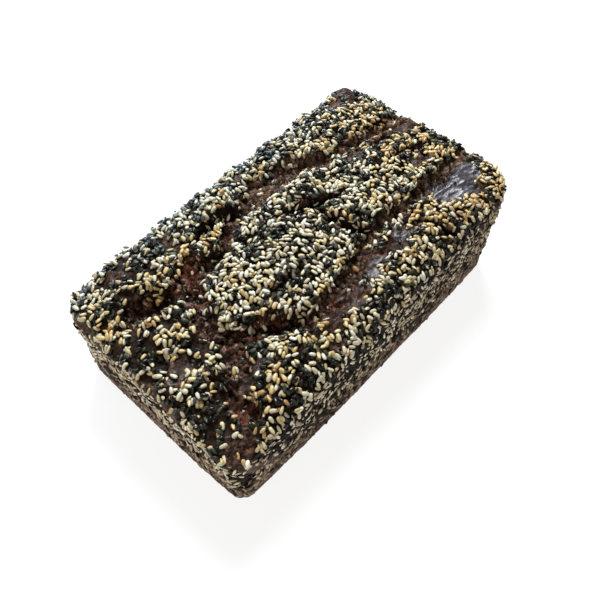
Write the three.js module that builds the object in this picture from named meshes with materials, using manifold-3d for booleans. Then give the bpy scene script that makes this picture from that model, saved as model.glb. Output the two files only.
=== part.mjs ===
// A dense rye loaf baked in a small tin: one solid of dough with a furrowed,
// lumpy top, rounded shoulders and slightly leaning walls, and sesame seeds
// baked into the crust. Millimetres, +Z up, X along the loaf, Y across it,
// the origin under its middle on the face that it rests on. Places on the top
// are measured from the middle of the straight-sided plan, before its bows.

import * as THREE from 'three';
import { mergeVertices } from 'three/addons/utils/BufferGeometryUtils.js';
import Module from 'manifold-3d';

// Driving dimensions of the dough, without the seeds.
const LENGTH = 168;
const WIDTH = 96;
const RIM_HEIGHT = { leftFront: 36.2, rightFront: 50, leftBack: 42.6, rightBack: 51 };
const CROWN = 2.5;              // the middle of the top above its rim
// rounding of the upright corners, seen from above
const CORNER_RADIUS = { leftFront: 7, rightFront: 13, leftBack: 11, rightBack: 9.5 };
const SHOULDER_RADIUS = 4.5;    // top edge of both ends and of the back wall
const FRONT_SHOULDER_RADIUS = 8;
const FOOT_RADIUS = 2.5;
const WALL_LEAN = 0.4;          // the base is this much smaller on each side
const CORNER_LEAN = 1.6;        // and this much more at its two front corners
const WALL_WAIST = 0.5;         // and the walls sink in this much half way up
const BOW = { farEnd: 2.2, back: 1, nearEnd: 0.3, front: 0.4 };   // of each wall, at its rim
const WALL_RIPPLE = 0.45;
const WALL_REACH = 8.5;         // how far in from a wall its lean and bow fade out on the top
const RELIEF_DEPTH = 14;        // how far down the walls the top's relief fades out
const MIDDLE = { x: 0.95, y: 0.4 };     // of the whole loaf with its bows: the origin
const TOP_STEP = 4;             // size of the faces
const WALL_STEPS = 7;
const BASE_CUT = 0.05;          // sliced off below, so that the base is one flat face

// Cracks and furrows where the crust tore as it baked. Each is a line of
// points: x, y, half width, depth.
const FURROWS = [
  // the long one, left of the middle
  [[-75, 20.5, 2.5, 1.5], [-68, 22.5, 4, 5], [-58, 19.5, 5, 6.5], [-49, 17, 5, 6],
    [-41, 20.5, 7, 4.5], [-33, 17.5, 4, 6.4], [-26, 17.5, 3, 6.4], [-19, 22.5, 3, 5],
    [-10, 26.5, 4, 5], [0, 27.5, 5.5, 4.6], [10, 30.5, 7, 4.6], [18, 30, 7, 4.8],
    [26, 27, 6, 4.5], [34, 23.5, 5, 3.8], [41, 20.5, 4.5, 3.2], [48, 19, 4, 3],
    [56, 17.5, 3, 3.2], [64, 16.5, 3.5, 3.8], [72, 15.5, 4.5, 4], [80, 13.5, 4.5, 2],
    [85, 12.5, 4, 0.6]],
  // the deep gap beside it
  [[-30, 29.5, 1.5, 3], [-22, 31, 2.5, 6], [-12, 31, 3, 6.5], [-5, 30, 2, 4]],
  // the long one, right of the middle
  [[-50, -11, 4, 4], [-43, -16, 5, 5.5], [-36, -21.5, 4, 5.5], [-28, -26, 3.5, 5.5],
    [-20, -29, 4, 4.5], [-9, -28.5, 4.5, 4.5], [1, -26, 4, 4.5], [10, -22.5, 3.5, 4.5],
    [20, -20, 2.5, 4.5], [30, -19.5, 2.5, 4.5], [40, -20.5, 3.5, 4.5], [50, -21.5, 4, 4.5],
    [60, -22, 4, 4.5], [74, -20.5, 3.5, 2.6], [81, -21, 3, 0.6]],
  // the cross furrow that joins them
  [[-48, 11, 5, 5], [-51.5, 3, 4, 4], [-53, -4, 4.5, 4], [-51, -12, 4.5, 4]],
  // the short one at the near end
  [[-52, -17, 4, 3.5], [-57, -22, 5, 4], [-64, -28, 4.5, 5.5], [-65, -35.5, 4.5, 5]],
  // narrow cracks under the edges of the lumps
  [[-1, 12.5, 1, 2.5], [5, 10.5, 1.6, 5], [13, 7.5, 2.2, 7.4], [21, 4.5, 2.2, 7.4],
    [28, 2, 1.4, 3.5]],
  [[13.5, 2, 1.5, 3], [14.5, -4, 1.8, 4], [17, -15, 2.3, 6], [19, -18, 1.5, 4]],
  [[-27, -10, 1.5, 2.5], [-13, -11, 1.8, 3]],
  [[38, -31, 1.5, 3], [43, -43, 2.2, 4]],
  [[57, 10.5, 1.6, 3], [68, 12, 2.2, 4]],
  [[60, -1, 1, 2], [66, -2, 1.5, 2.5], [73, -6, 2, 3.5], [78, -6, 1, 2]],
];

// Swollen lumps between the furrows: x, y, reach along X, reach along Y, height.
const LUMPS = [
  [-12, 0, 30, 17, 2.5],
  [-58, 33, 15, 8, 2.2],
  [-22, 41, 28, 6, 2.2],
  [14, 18, 17, 5, 2.2],
  [50, 4, 14, 9, 2],
  [29, -8, 10, 8, 2],
  [-44, -33, 19, 7, 2],
  [24, -37, 15, 6, 1.4],
  [60, 35, 18, 8, 1.5],
  [-68, 8, 11, 8, 1.6],
  [-71, -17, 7, 8, 1.2],
  [77, 43, 4.5, 4.5, 3],
  [84, 12, 5, 3, 1.5],
  [83, -19, 4, 3, 1.2],
  [20, -26, 6, 4, 1.2],
  [-30, 25, 5, 4, 1],
];

// Smooth places with no seeds: x, y, reach along X, reach along Y.
const BARE_PATCHES = [
  [64, -29, 15, 7.5],
  [-79, -42.5, 8.5, 5],
  [-9, -33, 12, 4.5],
  [-56, -26, 6, 4],
  [-72, -8, 5, 3.5],
  [-62, 39, 5.5, 3.5],
  [-39, 36, 2.5, 4],
  [78, 43, 5, 5],
  [9, -30, 7, 4],
  [28, -28, 6, 3.5],
  [10, 24, 9, 3.5],
  [67, 41, 7, 3.5],
  [79, 7.5, 6, 4.5],
  [5, 42, 4, 3],
  [45, 11, 3.5, 2.5],
  [65, -13, 3, 2.5],
  [69, -38.5, 4, 2.5],
  [-24, -41, 5, 2],
];
const BARE_PATCH_DEPTH = 0.7;

// The sesame seeds that stand out furthest from the crust.
const SEED = { length: 3.2, width: 1.9, thickness: 1.3, sink: 0.1 };
const SEED_SIZE_SPREAD = 0.14;
const SEED_COUNT = 188;
const SEED_SPACING = 10.5;
const SEED_SIDES = 6;
const SEED_RINGS = 3;
const SEED_LOWEST = 4;          // no seed lies closer to the base than this
const DROP_HEIGHT = 5;
const FIRST_DRAW = 20431;

const clamp = (value, low, high) => Math.min(Math.max(value, low), high);
const mix = (from, to, share) => from + (to - from) * share;

function smoothstep(low, high, value) {
  const share = clamp((value - low) / (high - low), 0, 1);
  return share * share * (3 - 2 * share);
}

// Height of the rim at a place in the plan: a gently twisted plane.
function rimHeight(x, y) {
  const along = x / LENGTH + 0.5;
  const across = y / WIDTH + 0.5;
  const front = mix(RIM_HEIGHT.leftFront, RIM_HEIGHT.rightFront, along);
  const back = mix(RIM_HEIGHT.leftBack, RIM_HEIGHT.rightBack, along);
  return mix(front, back, across);
}

// How a furrow lies at a place: its depth there, and the distance from its
// line in half widths.
function furrowAt(furrow, x, y) {
  let depth = 0;
  let nearest = Infinity;
  for (let i = 0; i + 1 < furrow.length; i += 1) {
    const [x0, y0, halfWidth0, depth0] = furrow[i];
    const [x1, y1, halfWidth1, depth1] = furrow[i + 1];
    const runX = x1 - x0;
    const runY = y1 - y0;
    const share = clamp(((x - x0) * runX + (y - y0) * runY) / (runX ** 2 + runY ** 2), 0, 1);
    const distance = Math.hypot(x - x0 - share * runX, y - y0 - share * runY);
    const ratio = distance / mix(halfWidth0, halfWidth1, share);
    depth = Math.max(depth, mix(depth0, depth1, share) * (1 - smoothstep(0.4, 1.35, ratio)));
    nearest = Math.min(nearest, ratio);
  }
  return { depth, nearest };
}

// Distance from the middle of an oval place, in its own reaches.
const ovalDistance = ([atX, atY, reachX, reachY], x, y) =>
  Math.hypot((x - atX) / reachX, (y - atY) / reachY);

// Height of the top above the rim.
function topRelief(x, y) {
  const crown = CROWN * (1 - (2 * x / LENGTH) ** 4) * (1 - (2 * y / WIDTH) ** 4);
  const ripple = 0.5 * Math.sin(x / 4.1 + 1.3 * Math.sin(y / 6.3))
    * Math.sin(y / 3.4 + 1.1 * Math.sin(x / 7.9));
  let height = crown + ripple;
  for (const lump of LUMPS) {
    height += lump[4] * Math.exp(-(ovalDistance(lump, x, y) ** 2));
  }
  for (const patch of BARE_PATCHES) {
    height -= BARE_PATCH_DEPTH * (1 - smoothstep(0.7, 1.2, ovalDistance(patch, x, y)));
  }
  const dips = FURROWS.map((furrow) => furrowAt(furrow, x, y).depth);
  return height - Math.max(...dips);
}

const isBare = (x, y) =>
  FURROWS.some((furrow) => furrowAt(furrow, x, y).nearest < 1)
  || BARE_PATCHES.some((patch) => ovalDistance(patch, x, y) < 1);

// Presses the corner of a square of this radius into a quarter circle. Both
// values run from 0 on the inside to the radius on the faces.
function roundOff(a, b) {
  const factor = a > 0 && b > 0 ? Math.max(a, b) / Math.hypot(a, b) : 1;
  return [a * factor, b * factor];
}

// How far the rim bows out at a place on the walls: most in the middle of each.
function rimBow(x, y, directionX, directionY) {
  const end = directionX > 0 ? BOW.farEnd : BOW.nearEnd;
  const side = directionY > 0 ? BOW.back : BOW.front;
  return end * directionX ** 2 * (1 - (2 * y / WIDTH) ** 2)
    + side * directionY ** 2 * (1 - (2 * x / LENGTH) ** 2);
}

function cornerRadius(x, y) {
  if (x < 0) return y < 0 ? CORNER_RADIUS.leftFront : CORNER_RADIUS.leftBack;
  return y < 0 ? CORNER_RADIUS.rightFront : CORNER_RADIUS.rightBack;
}

// The dough's skin: takes a place on a plain box, with its level from 0 at
// the base to 1 at the top, to the same place on the loaf.
function doughPoint(x, y, level) {
  const radius = cornerRadius(x, y);
  const innerX = clamp(x, radius - LENGTH / 2, LENGTH / 2 - radius);
  const innerY = clamp(y, radius - WIDTH / 2, WIDTH / 2 - radius);
  const outward = Math.max(Math.abs(x - innerX), Math.abs(y - innerY));
  const reach = Math.hypot(x - innerX, y - innerY) || 1;
  const directionX = (x - innerX) / reach;
  const directionY = (y - innerY) / reach;

  const rim = rimHeight(innerX + directionX * outward, innerY + directionY * outward);
  const facingFront = Math.max(0, -directionY) ** 2;
  const shoulder = mix(SHOULDER_RADIUS, FRONT_SHOULDER_RADIUS, facingFront);
  const atWall = Math.max(0, 1 - (radius - outward) / WALL_REACH);
  let inset = radius - outward;
  let height = level * rim;
  const [overTop, aboveShoulder] = roundOff(
    Math.max(0, shoulder - inset), Math.max(0, height - rim + shoulder));
  if (aboveShoulder > 0 && overTop > 0) {
    inset = shoulder - overTop;
    height = rim - shoulder + aboveShoulder;
  }
  const [overFoot, belowFoot] = roundOff(
    Math.max(0, FOOT_RADIUS - inset), Math.max(0, FOOT_RADIUS - height));
  if (belowFoot > 0 && overFoot > 0) {
    inset = FOOT_RADIUS - overFoot;
    height = FOOT_RADIUS - belowFoot;
  }

  const share = height / rim;
  const cornerLean = CORNER_LEAN * (2 * x / LENGTH) ** 4 * Math.max(0, -2 * y / WIDTH) ** 4;
  const lean = (WALL_LEAN + cornerLean) * (1 - share) + WALL_WAIST * Math.sin(Math.PI * share);
  const ripple = WALL_RIPPLE * smoothstep(0, 8, height)
    * Math.sin(x / 5.3 + y / 4.7 + height / 9) * Math.sin(height / 4.4 + x / 11 - y / 8);
  const bow = share * rimBow(x, y, directionX, directionY);
  const out = radius - inset + (bow + ripple - lean) * atWall;
  const planX = innerX + directionX * out;
  const planY = innerY + directionY * out;
  const topShare = smoothstep(rim - RELIEF_DEPTH, rim, height);
  return new THREE.Vector3(planX, planY, height + topShare * topRelief(planX, planY));
}

// A closed three.js geometry as a solid for joining.
function toSolid(wasm, geometry) {
  geometry.deleteAttribute('normal');
  geometry.deleteAttribute('uv');
  const merged = mergeVertices(geometry, 1e-4);
  return new wasm.Manifold(new wasm.Mesh({
    numProp: 3,
    vertProperties: new Float32Array(merged.attributes.position.array),
    triVerts: new Uint32Array(merged.index.array),
  }));
}

function toGeometry(solid) {
  const mesh = solid.getMesh();
  const geometry = new THREE.BufferGeometry();
  geometry.setAttribute('position', new THREE.BufferAttribute(mesh.vertProperties, 3));
  geometry.setIndex(new THREE.BufferAttribute(mesh.triVerts, 1));
  geometry.computeVertexNormals();
  return geometry;
}

// The dough as a box bent into shape. Its rows crowd together towards the
// rim and the foot, where the walls curve most.
function makeDough() {
  const geometry = new THREE.BoxGeometry(LENGTH, WIDTH, 1,
    Math.round(LENGTH / TOP_STEP), Math.round(WIDTH / TOP_STEP), WALL_STEPS);
  const position = geometry.attributes.position;
  for (let i = 0; i < position.count; i += 1) {
    const level = 0.5 + 0.5 * Math.sin(Math.PI * position.getZ(i));
    const point = doughPoint(position.getX(i), position.getY(i), level);
    position.setXYZ(i, point.x, point.y, point.z - BASE_CUT);
  }
  return geometry;
}

// What is sliced off below the loaf.
function makeSlice() {
  const thickness = 10;
  return new THREE.BoxGeometry(2 * LENGTH, 2 * WIDTH, thickness).translate(0, 0, -thickness / 2);
}

// One seed, lying flat: a pointed drop along X, with rings that grow from the
// sharp tip to the blunt end.
function makeSeed() {
  const geometry = new THREE.SphereGeometry(0.5, SEED_SIDES, SEED_RINGS);
  geometry.rotateZ(Math.PI / 2);
  const position = geometry.attributes.position;
  for (let i = 0; i < position.count; i += 1) {
    const taper = 1 - 0.45 * position.getX(i);
    position.setXYZ(i, position.getX(i) * SEED.length, position.getY(i) * SEED.width * taper,
      position.getZ(i) * SEED.thickness * taper);
  }
  return geometry;
}

let drawState = FIRST_DRAW;

// The next number of a fixed row, from 0 to 1.
function draw() {
  drawState = (drawState * 16807) % 2147483647;
  return drawState / 2147483647;
}

// Faces that carry seeds, each as a function from two shares to a place on
// the plain box.
const wallHeight = (RIM_HEIGHT.leftFront + RIM_HEIGHT.rightBack) / 2;
const SEEDED_FACES = [
  { area: LENGTH * WIDTH, place: (a, b) => [(a - 0.5) * LENGTH, (b - 0.5) * WIDTH, 1] },
  { area: LENGTH * wallHeight, place: (a, b) => [(a - 0.5) * LENGTH, -WIDTH / 2, b] },
  { area: WIDTH * wallHeight, place: (a, b) => [LENGTH / 2, (a - 0.5) * WIDTH, b] },
  { area: LENGTH * wallHeight, place: (a, b) => [(0.5 - a) * LENGTH, WIDTH / 2, b] },
  { area: WIDTH * wallHeight, place: (a, b) => [-LENGTH / 2, (0.5 - a) * WIDTH, b] },
];

// Where a seed lies: dropped onto the faceted dough, with axes along it, across
// it and out of the crust.
function seedFrame(dough, face, a, b, heading) {
  const step = 0.004;
  const middle = doughPoint(...face.place(a, b));
  const alongA = doughPoint(...face.place(a + step, b)).sub(doughPoint(...face.place(a - step, b)));
  const alongB = doughPoint(...face.place(a, b + step)).sub(doughPoint(...face.place(a, b - step)));
  const out = new THREE.Vector3().crossVectors(alongA, alongB).normalize();
  const along = alongA.normalize().applyAxisAngle(out, heading);
  const across = new THREE.Vector3().crossVectors(out, along);
  const above = middle.addScaledVector(out, DROP_HEIGHT);
  const [landing] = new THREE.Raycaster(above, out.clone().negate()).intersectObject(dough);
  const resting = landing.point.addScaledVector(out, -SEED.sink);
  return new THREE.Matrix4().makeBasis(along, across, out).setPosition(resting);
}

// Places the seeds one by one, evenly, and never in a furrow or on a bare patch.
function placeSeeds(dough) {
  const areas = SEEDED_FACES.map((face) => face.area);
  const total = areas.reduce((sum, area) => sum + area, 0);
  const frames = [];
  const taken = [];
  while (frames.length < SEED_COUNT) {
    let pick = draw() * total;
    const face = SEEDED_FACES.find((each) => {
      pick -= each.area;
      return pick < 0;
    });
    const a = mix(0.02, 0.98, draw());
    const b = mix(0.02, 0.98, draw());
    const heading = draw() * 2 * Math.PI;
    const size = 1 + SEED_SIZE_SPREAD * (2 * draw() - 1);
    const at = doughPoint(...face.place(a, b));
    const onTop = face === SEEDED_FACES[0];
    const free = taken.every((other) => other.distanceTo(at) > SEED_SPACING);
    if (free && at.z > SEED_LOWEST && !(onTop && isBare(at.x, at.y))) {
      taken.push(at);
      frames.push(seedFrame(dough, face, a, b, heading).scale(new THREE.Vector3(size, size, size)));
    }
  }
  return frames;
}

async function makeLoaf() {
  const wasm = await Module();
  wasm.setup();
  const dough = makeDough();
  let solid = toSolid(wasm, dough.clone()).subtract(toSolid(wasm, makeSlice()));
  for (const frame of placeSeeds(new THREE.Mesh(dough))) {
    solid = solid.add(toSolid(wasm, makeSeed().applyMatrix4(frame)));
  }
  const crust = new THREE.MeshStandardMaterial({ color: 0x4a2f26, roughness: 0.6, metalness: 0 });
  const mesh = new THREE.Mesh(toGeometry(solid), crust);
  mesh.name = 'loaf';
  mesh.position.set(-MIDDLE.x, -MIDDLE.y, 0);
  return mesh;
}

const bread = new THREE.Group();
bread.name = 'rye bread';
bread.add(await makeLoaf());

export default bread;
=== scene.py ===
# A dense rye loaf from a small tin, its crust torn into furrows as it baked
# and covered in white, toasted and black sesame seeds. It is one body of
# dough with the seeds baked on, so every piece rides on the same body.

import math
from collections import namedtuple
from itertools import product

import bmesh
import bpy
import numpy as np
from mathutils import Matrix, Vector, noise


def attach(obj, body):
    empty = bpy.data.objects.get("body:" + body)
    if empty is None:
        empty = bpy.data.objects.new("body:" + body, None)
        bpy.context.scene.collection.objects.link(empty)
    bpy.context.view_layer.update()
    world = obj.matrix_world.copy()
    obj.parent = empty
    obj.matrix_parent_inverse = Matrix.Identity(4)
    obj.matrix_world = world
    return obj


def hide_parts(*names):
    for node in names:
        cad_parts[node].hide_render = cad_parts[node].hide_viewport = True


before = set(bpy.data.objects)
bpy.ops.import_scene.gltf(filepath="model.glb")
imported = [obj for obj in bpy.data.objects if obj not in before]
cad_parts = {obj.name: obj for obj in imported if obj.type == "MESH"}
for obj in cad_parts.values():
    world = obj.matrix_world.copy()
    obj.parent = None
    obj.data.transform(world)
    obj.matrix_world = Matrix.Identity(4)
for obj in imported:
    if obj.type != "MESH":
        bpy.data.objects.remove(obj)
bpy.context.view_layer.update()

# ---------------------------------------------------------------------------
# The dough: one body of dense rye dough, tipped from a small tin. Its top
# swelled and tore into furrows of red-brown crumb, and its walls lean in a
# little to the foot. It stands on its flat base. Sizes are in millimetres.

MM = 0.001
LENGTH = 168
WIDTH = 96
RIM_HEIGHT = {"left_front": 36.2, "right_front": 50, "left_back": 42.6, "right_back": 51}
CROWN = 2.5
TOP_WAVE = 0.5
CORNER_RADIUS = {"left_front": 7, "right_front": 13, "left_back": 11, "right_back": 9.5}
SHOULDER_RADIUS = 4.5
FRONT_SHOULDER_RADIUS = 8
FOOT_RADIUS = 2.5
WALL_LEAN = 0.4
CORNER_LEAN = 1.6
WALL_WAIST = 0.5
BOW = {"far_end": 2.2, "back": 1, "near_end": 0.3, "front": 0.4}
WALL_RIPPLE = 0.45
RIPPLE_FADE = 8                 # the height below which the ripple of the walls fades out
WALL_REACH = 8.5                # how far in from a wall its lean and bow are felt
RELIEF_DEPTH = 14               # how far below the rim the relief of the top fades out
MIDDLE = (0.95, 0.4)            # the middle of the whole outline, which goes to the origin
BARE_PATCH_DEPTH = 0.7
RIM_BAND_DROP = 1.6
RIM_BAND_HALF_WIDTH = 3

# wide furrows and narrow cracks: x, y, half width and depth of each point on their lines
FURROWS = [
    # the long one, left of the middle
    [(-75, 20.5, 2.5, 1.5), (-68, 22.5, 4, 5), (-58, 19.5, 5, 6.5), (-49, 17, 5, 6),
     (-41, 20.5, 7, 4.5), (-33, 17.5, 4, 6.4), (-26, 17.5, 3, 6.4), (-19, 22.5, 3, 5),
     (-10, 26.5, 4, 5), (0, 27.5, 5.5, 4.6), (10, 30.5, 7, 4.6), (18, 30, 7, 4.8),
     (26, 27, 6, 4.5), (34, 23.5, 5, 3.8), (41, 20.5, 4.5, 3.2), (48, 19, 4, 3),
     (56, 17.5, 3, 3.2), (64, 16.5, 3.5, 3.8), (72, 15.5, 4.5, 4), (80, 13.5, 4.5, 2),
     (85, 12.5, 4, 0.6)],
    # the long one, right of the middle
    [(-50, -11, 4, 4), (-43, -16, 5, 5.5), (-36, -21.5, 4, 5.5), (-28, -26, 3.5, 5.5),
     (-20, -29, 4, 4.5), (-9, -28.5, 4.5, 4.5), (1, -26, 4, 4.5), (10, -22.5, 3.5, 4.5),
     (20, -20, 2.5, 4.5), (30, -19.5, 2.5, 4.5), (40, -20.5, 3.5, 4.5), (50, -21.5, 4, 4.5),
     (60, -22, 4, 4.5), (74, -20.5, 3.5, 2.6), (81, -21, 3, 0.6)],
    # the cross furrow that joins them
    [(-48, 11, 5, 5), (-51.5, 3, 4, 4), (-53, -4, 4.5, 4), (-51, -12, 4.5, 4)],
    # the short one at the near end
    [(-52, -17, 4, 3.5), (-57, -22, 5, 4), (-64, -28, 4.5, 5.5), (-65, -35.5, 4.5, 5)],
]
CRACKS = [
    # the deep one beside the long furrow on the left
    [(-30, 29.5, 1.5, 3), (-22, 31, 2.5, 6), (-12, 31, 3, 6.5), (-5, 30, 2, 4)],
    # under the edges of the lumps
    [(-1, 12.5, 1, 2.5), (5, 10.5, 1.6, 5), (13, 7.5, 2.2, 7.4), (21, 4.5, 2.2, 7.4),
     (28, 2, 1.4, 3.5)],
    [(13.5, 2, 1.5, 3), (14.5, -4, 1.8, 4), (17, -15, 2.3, 6), (19, -18, 1.5, 4)],
    [(-27, -10, 1.5, 2.5), (-13, -11, 1.8, 3)],
    [(38, -31, 1.5, 3), (43, -43, 2.2, 4)],
    [(57, 10.5, 1.6, 3), (68, 12, 2.2, 4)],
    [(60, -1, 1, 2), (66, -2, 1.5, 2.5), (73, -6, 2, 3.5), (78, -6, 1, 2)],
]
TEARS = FURROWS + CRACKS

# swollen lumps: x, y, reach along the loaf, reach across it, height
LUMPS = [
    (-12, 0, 30, 17, 2.5), (-58, 33, 15, 8, 2.2), (-22, 41, 28, 6, 2.2), (14, 18, 17, 5, 2.2),
    (50, 4, 14, 9, 2), (29, -8, 10, 8, 2), (-44, -33, 19, 7, 2), (24, -37, 15, 6, 1.4),
    (60, 35, 18, 8, 1.5), (-68, 8, 11, 8, 1.6), (-71, -17, 7, 8, 1.2), (77, 43, 4.5, 4.5, 3),
    (84, 12, 5, 3, 1.5), (83, -19, 4, 3, 1.2), (20, -26, 6, 4, 1.2), (-30, 25, 5, 4, 1),
]

# smooth places where no seeds stuck: x, y, reach along the loaf, reach across it
BARE_PATCHES = [
    (64, -29, 15, 7.5), (-79, -42.5, 8.5, 5), (-9, -33, 12, 4.5), (-56, -26, 6, 4),
    (-72, -8, 5, 3.5), (-62, 39, 5.5, 3.5), (-39, 36, 2.5, 4), (78, 43, 5, 5), (9, -30, 7, 4),
    (28, -28, 6, 3.5), (10, 24, 9, 3.5), (67, 41, 7, 3.5), (79, 7.5, 6, 4.5), (5, 42, 4, 3),
    (45, 11, 3.5, 2.5), (65, -13, 3, 2.5), (69, -38.5, 4, 2.5), (-24, -41, 5, 2),
]

# level places where few seeds stuck: as above, and the share that is missing
THIN_PLACES = [
    (22, -31, 9, 4, 1), (35, 24, 8, 3, 1), (-69, -24, 5, 8, 0.9), (-60, -6, 5, 7, 0.99),
    (-34, -23, 5, 3, 0.99), (63, -10, 4, 3, 0.98), (50, 14, 6, 2.5, 0.98), (76, 25, 5, 3, 0.95),
    (-16, -35, 14, 4, 1), (-43, 14, 5, 6, 0.99), (-55, -14, 6, 4, 0.99), (71, 10, 8, 3, 0.98),
    (7, 35, 6, 2.5, 0.98), (56, -34, 6, 3.5, 1), (74, -24, 5, 3.5, 1), (72, 37, 8, 4, 0.99),
]

# places with redder crumb: as above, and how much redder
RED_PLACES = [
    (-39, 20, 5, 9, 1), (-46, -19, 9, 4, 0.8), (-14, -33, 12, 4, 0.7), (72, 14, 9, 5, 0.9),
    (-64, -33, 5, 6, 0.8), (63, -14, 4, 3, 0.8), (-57, 20, 8, 4, 0.4), (45, 20, 8, 3, 0.4),
    (66, 40, 6, 4, 0.6), (-20, 27, 6, 3, 0.8),
]

# places with a glaze, first the big one at the far end: as above, and how glossy; the same share mixes
# a painted blue-grey sheen into the colour
GLAZE_AND_SHEEN_PLACES = [
    (64, -29, 15, 7.5, 1), (56, -34, 6, 3.5, 0.9), (74, -24, 5, 3.5, 0.9), (27, -29, 5, 3, 0.45),
    (8, -32, 5, 3, 0.45), (-5, -32, 6, 3, 0.3), (6, 23.5, 7, 3, 0.4), (-54, -27, 6, 3.5, 0.4),
    (57, -11, 6, 4, 0.5), (-76, 37, 6, 5, 0.4), (-71, -9, 6, 4, 0.3), (76, -21, 6, 4, 0.7),
]


def smoothstep(low, high, value):
    """0 at low, 1 at high and smooth between."""
    share = np.clip((value - low) / (high - low), 0, 1)
    return share * share * (3 - 2 * share)


def waves(x, y, along, across, shift=0):
    """Rises and dips in winding rows, from 1 to -1. Each direction has the length of its
    waves, how much they wind and the length of the windings."""
    rows = np.sin(x / along[0] + along[1] * np.sin(y / along[2]))
    return rows * np.sin(y / across[0] + across[1] * np.sin(x / across[2] + shift))


def rim_height(x, y):
    along = x / LENGTH + 0.5
    across = y / WIDTH + 0.5
    front = RIM_HEIGHT["left_front"] * (1 - along) + RIM_HEIGHT["right_front"] * along
    back = RIM_HEIGHT["left_back"] * (1 - along) + RIM_HEIGHT["right_back"] * along
    return front * (1 - across) + back * across


def furrow_at(furrow, x, y):
    """How deep a furrow is at each place, and how many half widths away its line is."""
    depth = np.zeros_like(x)
    nearest = np.full_like(x, math.inf)
    for (x0, y0, half0, depth0), (x1, y1, half1, depth1) in zip(furrow, furrow[1:]):
        run_x, run_y = x1 - x0, y1 - y0
        share = ((x - x0) * run_x + (y - y0) * run_y) / (run_x**2 + run_y**2)
        share = np.clip(share, 0, 1)
        distance = np.hypot(x - x0 - share * run_x, y - y0 - share * run_y)
        ratio = distance / (half0 + (half1 - half0) * share)
        here = (depth0 + (depth1 - depth0) * share) * (1 - smoothstep(0.4, 1.35, ratio))
        depth = np.maximum(depth, here)
        nearest = np.minimum(nearest, ratio)
    return depth, nearest


def tear_depth(furrows, x, y):
    """The depth of the deepest of these furrows at each place."""
    return np.max([furrow_at(furrow, x, y)[0] for furrow in furrows], axis=0)


def tear_distance(x, y):
    """How far each place is from the nearest tear, which ends at 1."""
    return np.min([furrow_at(furrow, x, y)[1] for furrow in TEARS], axis=0)


def oval_distance(oval, x, y):
    """How far each place is from the middle of an oval, whose edge is at 1."""
    return np.hypot((x - oval[0]) / oval[2], (y - oval[1]) / oval[3])


def patch_distance(x, y):
    return np.min([oval_distance(patch, x, y) for patch in BARE_PATCHES], axis=0)


def gathered(places, x, y):
    """How much is gathered at a spot from all the places of a list."""
    return sum(place[4] * np.exp(-(oval_distance(place, x, y) ** 2)) for place in places)


def top_relief(x, y):
    height = CROWN * (1 - (2 * x / LENGTH) ** 4) * (1 - (2 * y / WIDTH) ** 4)
    height = height + TOP_WAVE * waves(x, y, (4.1, 1.3, 6.3), (3.4, 1.1, 7.9))
    for lump in LUMPS:
        height = height + lump[4] * np.exp(-(oval_distance(lump, x, y) ** 2))
    for patch in BARE_PATCHES:
        dent = 1 - smoothstep(0.7, 1.2, oval_distance(patch, x, y))
        height = height - BARE_PATCH_DEPTH * dent
    return height - tear_depth(TEARS, x, y)


def ragged(x, y):
    """Places shifted to and fro by a millimetre or two, for edges that tore unevenly."""
    wide = np.sin(x / 5.1 + 1.9 * np.sin(y / 6.7))
    return (
        x + 1.5 * wide
        + 1.1 * np.sin(y / 1.9 + 1.4 * np.sin(x / 3.1)) + 0.7 * np.sin(y / 0.8 + x / 1.7),
        y + 1.1 * wide
        + 1.1 * np.sin(x / 2.3 + 1.6 * np.sin(y / 2.7)) + 0.7 * np.sin(x / 0.9 - y / 1.3),
    )


def torn(x, y, facing_up):
    """1 in a furrow, falling to 0 on the seeded crust beside it and on the walls."""
    nearest = tear_distance(*ragged(x, y))
    return (1 - smoothstep(0.75, 1.05, nearest)) * smoothstep(-0.2, 0.35, facing_up)


def smooth_bare(x, y, facing_up):
    """1 on a smooth patch without seeds, falling to 0 beside it and on the walls."""
    nearest = patch_distance(*ragged(x, y))
    return (1 - smoothstep(0.85, 1.2, nearest)) * smoothstep(0.1, 0.5, facing_up)


def rim_band(x, y, level):
    """1 on the smooth band along the rim of the near end, by places on the plain box."""
    over = x + LENGTH / 2 - (1 - level) * rim_height(x, y)
    wander = 0.8 * np.sin(y / 3.1) + 0.5 * np.sin(y / 1.3 + 1)
    away = abs(over + RIM_BAND_DROP + wander) / RIM_BAND_HALF_WIDTH
    along = smoothstep(-0.6, 0.5, np.sin(y / 7 + 2.9) + 0.5 * np.sin(y / 2.9))
    return (1 - smoothstep(0.6, 1.3, away)) * along


def rough_end(x):
    """1 at the near end of the loaf, whose top is rougher, falling to 0 short of the middle."""
    return smoothstep(-38, -60, x)


def hollows(x, y):
    """The hollows between the clumps of seeds at the near end, and the clumps below 0."""
    return waves(x, y, (2.3, 1.5, 3.9), (2.6, 1.7, 3.3), 1) * rough_end(x)


def swell(x, y):
    """The small rises and dips of the seeded top, in millimetres."""
    return 0.75 * waves(x, y, (1.5, 1.7, 3.1), (1.35, 1.6, 2.7)) - 0.9 * hollows(x, y)


def thin(x, y):
    """1 in the gaps where hardly any seeds stuck; there are more at the near end."""
    lowest = 0.5 - 0.22 * rough_end(x)
    gaps = smoothstep(lowest, lowest + 0.12, waves(x, y, (1.1, 2, 2.3), (1.2, 2, 1.9)))
    gaps = np.maximum(gaps, 0.98 * smoothstep(0.36, 0.5, hollows(x, y)))
    x, y = ragged(x, y)
    for place in THIN_PLACES:
        inside = 1 - smoothstep(0.7, 1.2, oval_distance(place, x, y))
        gaps = np.maximum(gaps, place[4] * inside)
    return gaps


def round_off(a, b):
    """Turn the square corner between two edges into a round one, by distances past its start."""
    corner = (a > 0) & (b > 0)
    factor = np.where(corner, np.maximum(a, b) / np.maximum(np.hypot(a, b), 1e-9), 1)
    return a * factor, b * factor, corner


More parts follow.
